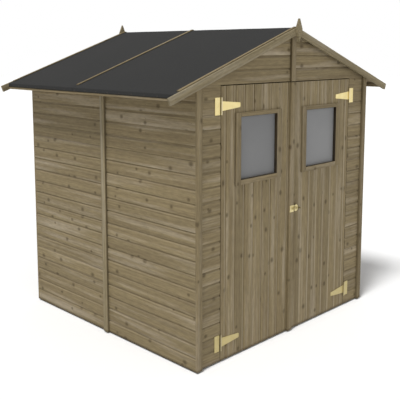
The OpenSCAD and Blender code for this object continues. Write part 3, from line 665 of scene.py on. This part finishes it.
for end, foot_z, name in ((-1, head_z, "front_cover_strips"), (1, clad_z, "back_cover_strips")):
    piece = shape(name.replace("cover", "wall"), wall_strips(end, foot_z), cover_wood, "shed")
    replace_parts(piece, name)
side_runs = []
for side in (-1, 1):
    top_z = roof_at(half_w + strip_section[0][:, 1])
    foot = (side * half_w, -STRIP_W / 2, clad_z)
    side_runs.append(carry(strip_section, foot, UP, BACK, side * RIGHT, 0, top_z - clad_z))
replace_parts(shape("side_strips", side_runs, strip_wood, "shed"), "side_wall_strips")
STRIP_PIN_Z = np.arange(120, 1720, 320) * MM
GABLE_PIN_Z = np.array([1800, 2000]) * MM
strip_face_y = half_d + STRIP_T
corner_x = half_w - STRIP_W / 2
strip_nails = []
for end in (-1, 1):
    strip_places = [(x, end * strip_face_y, z) for x in (-corner_x, corner_x) for z in STRIP_PIN_Z]
    strip_places += [(0, end * strip_face_y, z) for z in GABLE_PIN_Z]
    strip_nails.append(heads(strip_places, end * BACK, **PIN_HEAD))
strip_nails.append(heads([(0, strip_face_y, z) for z in STRIP_PIN_Z], BACK, **PIN_HEAD))
for side in (-1, 1):
    side_places = [(side * (half_w + STRIP_T), 0, z) for z in STRIP_PIN_Z]
    strip_nails.append(heads(side_places, side * RIGHT, **PIN_HEAD))
shape("cover_strip_nails", strip_nails, dull_nails, "shed")

# Door boards
# Shiplap boards stood upright and nailed to three ledges and a brace behind, with the window
# cut out of them. The left leaf carries the strip that covers the meeting edges, and the right one
# the block that the guides of the bolt are screwed to.
FIRST_JOINT_X = 33.4 * MM
MOST_JOINTS = 9
LEAST_BOARD = 10 * MM
# Door scoops are shallower, with more painted light and little painted shade
DOOR_SCOOP = {"scoop_depth": 3.2 * MM, "light_tone": -0.6, "shade_tone": 0.08}
SILL_TRIM_H = 32 * MM
HEAD_TRIM_H = 26 * MM
finish_node(sawn_along["x"], "left_door_ledges", "right_door_ledges")


def leaf_boards(leaf, side):
    """Upright boards of one leaf, placed by their distance from the middle of the shed on the leaf's side.
    Joints are a cover apart and the scoops face the middle. Boards are cut at the window."""
    low, high = np.array(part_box(leaf + "_door_side_boards"))
    window_low, window_high = np.array(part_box(leaf + "_door_window_boards"))
    trim_low, trim_high = np.array(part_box(leaf + "_window_trim"))
    sill_z, lintel_z = trim_low[2] + SILL_TRIM_H, trim_high[2] - HEAD_TRIM_H
    meet_u, hinge_u = sorted((side * low[0], side * high[0]))
    window_in, window_out = sorted((side * window_low[0], side * window_high[0]))
    joints = FIRST_JOINT_X + COVER * np.arange(MOST_JOINTS)
    joints = joints[(joints > meet_u + LEAST_BOARD) & (joints < hinge_u - LEAST_BOARD)]
    edges = [meet_u, *joints, hinge_u]
    runs = []
    for near, far in zip(edges[:-1], edges[1:]):
        spans = [(near, far, low[2], high[2])]
        if far > window_in and near < window_out:
            spans = [(near, far, low[2], sill_z), (near, far, lintel_z, high[2])]
            spans += [(near, window_in, sill_z, lintel_z)] if near < window_in else []
            spans += [(window_out, far, sill_z, lintel_z)] if far > window_out else []
        for span_near, span_far, foot_z, top_z in spans:
            width = span_far - span_near
            plain = span_near in (meet_u, window_out)
            section = planed(width, clad_t) if plain else shiplap(width, **DOOR_SCOOP)
            foot = (side * span_far, -half_d, foot_z)
            runs.append(carry(section, foot, UP, -side * RIGHT, BACK, 0, top_z - foot_z))
    return runs


for leaf, side in (("left", -1), ("right", 1)):
    boards = shape(leaf + "_door_boards", leaf_boards(leaf, side), shiplap_wood, leaf + "_door")
    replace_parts(boards, leaf + "_door_side_boards", leaf + "_door_window_boards")
meet_low, meet_high = np.array(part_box("meeting_strip"))
# The sides of the meeting strip and of the block are darkened as painted shade
meet_section = planed(STRIP_W, STRIP_T, near_shade=SIDE_SHADE / 2, far_shade=SIDE_SHADE / 2)
meet_foot = (meet_low[0], -half_d, meet_low[2])
meeting = carry(meet_section, meet_foot, UP, RIGHT, -BACK, 0, meet_high[2] - meet_low[2])
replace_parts(shape("meeting_cover_strip", [meeting], cover_wood, "left_door"), "meeting_strip")
block_low, block_high = np.array(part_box("bolt_block"))
block_section = planed(block_high[0] - block_low[0], STRIP_T, near_shade=SIDE_SHADE, far_shade=SIDE_SHADE)
block_foot = (block_low[0], -half_d, block_low[2])
block = carry(block_section, block_foot, UP, RIGHT, -BACK, 0, block_high[2] - block_low[2])
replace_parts(shape("bolt_seat_block", [block], cover_wood, "right_door"), "bolt_block")

# Windows
# A sheet of clouded styrene is held in each leaf by beads behind it. Planed trims frame the
# opening in front: uprights at the sides, with a head and a sill between them. The sawn edges of
# the opening are covered by a thin, nearly black lining.
TRIM_W = 45 * MM
TRIM_GAP = 0.8 * MM
LINING_T = 1.2 * MM
LINING_BACK = 1 * MM
LINING_ARRIS = 0.3 * MM
finish_node(sawn_along["z"], "left_glazing_beads", "right_glazing_beads")


def glazing(name, cast_and_reflection):
    """Styrene glazing sheet: a grey cast, whose lightness also paints the pane's reflection, under a haze
    of dust, uneven over some 180 mm, which lets little light through and blurs what it mirrors."""
    material, tree, shader = new_finish(name)
    place = add(tree, "TexCoord").outputs["Object"]
    haze = add(tree, "TexNoise", {"Vector": place, "Scale": 1000 / 180, "Detail": 4.0}).outputs["Fac"]
    colour = add(tree, "Mix", {0: haze, 6: linear(cast_and_reflection[0]), 7: linear(cast_and_reflection[1])}, data_type="RGBA")
    tree.links.new(colour.outputs[2], shader.inputs["Base Color"])
    rough = add(tree, "MapRange", {"Value": haze, "To Min": 0.5, "To Max": 0.6})
    tree.links.new(rough.outputs["Result"], shader.inputs["Roughness"])
    shader.inputs["Transmission Weight"].default_value = 0.15
    shader.inputs["IOR"].default_value = 1.5
    shader.inputs["Specular IOR Level"].default_value = 0.3
    return material


# The right pane's lighter cast is painted reflection: it mirrors a little brighter than the left one
finish_node(glazing("styrene_glazing_dimmer_painted_reflection", ("#797979", "#838383")), "left_window_glass")
finish_node(glazing("styrene_glazing_brighter_painted_reflection", ("#848484", "#8E8E8E")), "right_window_glass")
reveal_wood = softwood("nearly_black_window_edges", "#2E2516", "#241C10", "#392E1C", "#1A140B", "#1E170D")
for leaf in ("left", "right"):
    low, high = np.array(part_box(leaf + "_window_trim"))
    trim_t = high[1] - low[1]
    # The uprights' sides are darkened as painted shade
    upright = planed(TRIM_W, trim_t, near_shade=SIDE_SHADE / 2, far_shade=SIDE_SHADE / 2)
    runs = [
        carry(upright, (x, -half_d, low[2]), UP, RIGHT, -BACK, 0, high[2] - low[2])
        for x in (low[0], high[0] - TRIM_W)
    ]
    from_x = low[0] + TRIM_W + TRIM_GAP
    width = high[0] - TRIM_W - TRIM_GAP - from_x
    for foot_z, height in ((low[2], SILL_TRIM_H), (high[2] - HEAD_TRIM_H, HEAD_TRIM_H)):
        runs.append(carry(planed(height, trim_t), (from_x, -half_d, foot_z), RIGHT, UP, -BACK, 0, width))
    trims = shape(leaf + "_trim_strips", runs, cover_wood, leaf + "_door")
    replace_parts(trims, leaf + "_window_trim")
    opening_low = low + np.array([TRIM_W, 0, SILL_TRIM_H])
    opening_high = high - np.array([TRIM_W, 0, HEAD_TRIM_H])
    wide, _, tall = opening_high - opening_low
    front_y = low[1] + LINING_BACK
    depth = clad_t + trim_t - 2 * LINING_BACK
    lining = planed(LINING_T, depth, arris=LINING_ARRIS)
    edges = [
        ((opening_low[0], front_y, opening_low[2]), UP, RIGHT, tall),
        ((opening_high[0], front_y, opening_low[2]), UP, -RIGHT, tall),
        ((opening_low[0] + LINING_T, front_y, opening_low[2]), RIGHT, UP, wide - 2 * LINING_T),
        ((opening_low[0] + LINING_T, front_y, opening_high[2]), RIGHT, -UP, wide - 2 * LINING_T),
    ]
    lining_runs = [
        carry(lining, start, along, across, BACK, 0, length)
        for start, along, across, length in edges
    ]
    shape(leaf + "_window_lining", lining_runs, reveal_wood, leaf + "_door")

# Hinges and pad bolt
# Tee hinges and a pad bolt of pressed steel, zinc plated and passivated to a pale yellow.
# They are screwed to the boards; the plating is uneven, with a soft sheen.
LOW_SHADE_FOOT, LOW_SHADE_TOP = 200 * MM, 1000 * MM


def yellow_zinc(name, painted_bands=(), film=("#E9DAA3", "#DCC98C")):
    """Yellow passivated zinc: a metal with a pale gold film, clouded over a few centimetres, and darkened
    towards the ground as painted shade. Each painted band of light or shade, upright and at a distance from
    the middle of the shed, has a colour of its own."""
    material, tree, shader = new_finish(name)
    place = add(tree, "TexCoord").outputs["Object"]
    clouds = add(tree, "TexNoise", {"Vector": place, "Scale": 1000 / 35, "Detail": 3.0}).outputs["Fac"]
    colour = add(tree, "Mix", {0: clouds, 6: linear(film[0]), 7: linear(film[1])}, data_type="RGBA")
    for centre, reach, shade in painted_bands:
        x = add(tree, "SeparateXYZ", {"Vector": place}).outputs["X"]
        x = add(tree, "Math", {0: x}, operation="ABSOLUTE")
        away = add(tree, "Math", {0: x.outputs["Value"], 1: centre}, operation="SUBTRACT")
        away = add(tree, "Math", {0: away.outputs["Value"]}, operation="ABSOLUTE")
        band = add(tree, "MapRange", {"Value": away.outputs["Value"], "From Min": reach,
                                      "From Max": 0.6 * reach})
        colour = add(tree, "Mix", {0: band.outputs["Result"], 6: colour.outputs[2], 7: linear(shade)},
                     data_type="RGBA")
    # Painted shade: darker towards the ground, from 1 m down to 0.2 m
    height = add(tree, "SeparateXYZ", {"Vector": place}).outputs["Z"]
    low_shade = add(tree, "MapRange", {"Value": height, "From Min": LOW_SHADE_TOP, "From Max": LOW_SHADE_FOOT,
                                  "To Min": 1.0, "To Max": 0.64})
    colour = add(tree, "HueSaturation", {"Value": low_shade.outputs["Result"], "Color": colour.outputs[2]})
    tree.links.new(colour.outputs["Color"], shader.inputs["Base Color"])
    shader.inputs["Metallic"].default_value = 1.0
    rough = add(tree, "MapRange", {"Value": clouds, "To Min": 0.35, "To Max": 0.5})
    tree.links.new(rough.outputs["Result"], shader.inputs["Roughness"])
    return material


# Painted highlight: a pale band along the knuckles; painted shade: a dark band in the groove between them and
# the plate
PIN_X = 696 * MM
KNUCKLE_HIGHLIGHT = (PIN_X, 4.5 * MM, "#CFC3A4")
GROOVE_SHADE = (PIN_X + 6.5 * MM, 2.5 * MM, "#4A3C22")
plated_steel = yellow_zinc("yellow_zinc_plated_steel")
hinge_steel = yellow_zinc("yellow_zinc_painted_highlight_and_shade", (KNUCKLE_HIGHLIGHT, GROOVE_SHADE))
finish_node(hinge_steel, "hinge_plates", "left_hinge_straps", "right_hinge_straps")
dulled_steel = yellow_zinc("dulled_yellow_zinc_plated_steel", film=("#DDD0A0", "#C6B888"))
finish_node(dulled_steel, "bolt_keep", "bolt_guides")
# The sliding bolt is coloured dark as painted shade along it, between the bright plates
shaded_bolt_steel = yellow_zinc("sliding_bolt_steel_painted_shade", film=("#8A7D50", "#6E6340"))
finish_node(shaded_bolt_steel, "sliding_bolt")

# Round-headed screws, three to each plate and each strap, two to the keep and two to the guides
STRAP_HALF_H = 30 * MM
STEEL_T = 2.5 * MM
PLATE_SCREW_X = 729 * MM
PLATE_SCREW_Z = np.array([-38, 0, 38]) * MM
STRAP_SCREW_X = np.array([664, 606, 544]) * MM
GUIDE_SCREW_X = 58 * MM
BOLT_SCREW_INSET = 6 * MM
HINGE_SCREW = {"radius": 4.2 * MM, "rise": 1.5 * MM}
BOLT_SCREW = {"radius": 3 * MM, "rise": 1.2 * MM}
strap_low, strap_high = np.array(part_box("right_hinge_straps"))
hinge_z = (strap_low[2] + STRAP_HALF_H, strap_high[2] - STRAP_HALF_H)
strap_y = -half_d - STEEL_T
plate_places = [
    (side * PLATE_SCREW_X, strap_y, z + screw_z)
    for side in (-1, 1) for z in hinge_z for screw_z in PLATE_SCREW_Z
]
shape("plate_screws", [heads(plate_places, -BACK, **HINGE_SCREW)], plated_steel, "shed")
for leaf, side in (("left", -1), ("right", 1)):
    strap_places = [(side * x, strap_y, z) for z in hinge_z for x in STRAP_SCREW_X]
    strap_screws = heads(strap_places, -BACK, **HINGE_SCREW)
    shape(leaf + "_strap_screws", [strap_screws], plated_steel, leaf + "_door")
for name, screw_x, body in (("bolt_keep", 0.0, "left_door"), ("bolt_guides", GUIDE_SCREW_X, "right_door")):
    low, high = np.array(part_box(name))
    seat_y = block_low[1] - STEEL_T
    screw_places = [(screw_x, seat_y, z) for z in (low[2] + BOLT_SCREW_INSET, high[2] - BOLT_SCREW_INSET)]
    shape(name + "_screws", [heads(screw_places, -BACK, **BOLT_SCREW)], plated_steel, body)

# Studio floor
# A plain matt floor, white and wide enough to reach past the frame on every side.
# It carries the shadow.
FLOOR_HALF = 40.0
floor_mesh = bpy.data.meshes.new("studio_floor")
floor_corners = FLOOR_HALF * np.array([[-1, -1, 0], [1, -1, 0], [1, 1, 0], [-1, 1, 0]])
floor_mesh.from_pydata(floor_corners, [], [[0, 1, 2, 3]])
floor = bpy.data.objects.new("studio_floor", floor_mesh)
bpy.context.collection.objects.link(floor)
floor_finish, _, floor_shader = new_finish("pale_studio_floor")
floor_shader.inputs["Base Color"].default_value = linear("#FCFCFC")
floor_shader.inputs["Roughness"].default_value = 0.9
floor_mesh.materials.append(floor_finish)

# Studio light
# A soft lamp high on the left throws the shadow, a broad one in front fills, and the surround is
# white to the camera, in metal and through glass, but lights the shed less.
world = bpy.data.worlds.new("pale_surround")
bpy.context.scene.world = world
world.use_nodes = True
world_tree = world.node_tree
background = world_tree.nodes["Background"]
background.inputs["Color"].default_value = linear("#FFFFFF")
path = add(world_tree, "LightPath")
seen = add(world_tree, "Math", {0: path.outputs["Is Camera Ray"], 1: path.outputs["Is Glossy Ray"]},
           operation="MAXIMUM")
seen = add(world_tree, "Math", {0: seen.outputs["Value"], 1: path.outputs["Is Transmission Ray"]},
           operation="MAXIMUM")
glow = add(world_tree, "MapRange", {"Value": seen.outputs["Value"], "To Min": 0.36, "To Max": 1.0})
world_tree.links.new(glow.outputs["Result"], background.inputs["Strength"])

# Each lamp's name, the direction towards it, its strength and how wide it looks in degrees
LAMPS = (("key_lamp", (-0.49, -0.117, 1.0), 2.5, 14), ("fill_lamp", (-0.12, -1.0, 0.2), 0.55, 60))
for name, towards, strength, width in LAMPS:
    lamp = bpy.data.lights.new(name, "SUN")
    lamp.energy = strength
    lamp.angle = np.radians(width)
    lamp_object = bpy.data.objects.new(name, lamp)
    bpy.context.collection.objects.link(lamp_object)
    lamp_object.rotation_mode = "QUATERNION"
    lamp_object.rotation_quaternion = Vector(towards).to_track_quat("Z", "Y")

# Camera
# At the photograph's viewing angle, where the frame is shifted and the camera level. Most of the
# shift is a turn down here, so that the shed stays whole from other sides too.
EYE = (-3.6876, -3.6972, 1.9737)
HEADING, PITCH = np.radians(44.967), np.radians(7.571)
camera_data = bpy.data.cameras.new("camera")
camera_data.sensor_width = 36
camera_data.lens = 61.237
camera_data.shift_y = -0.15
camera = bpy.data.objects.new("camera", camera_data)
bpy.context.collection.objects.link(camera)
camera.location = EYE
camera.rotation_euler = (QUARTER - PITCH, 0, -HEADING)
bpy.context.scene.camera = camera
bpy.context.scene.view_settings.view_transform = "Standard"
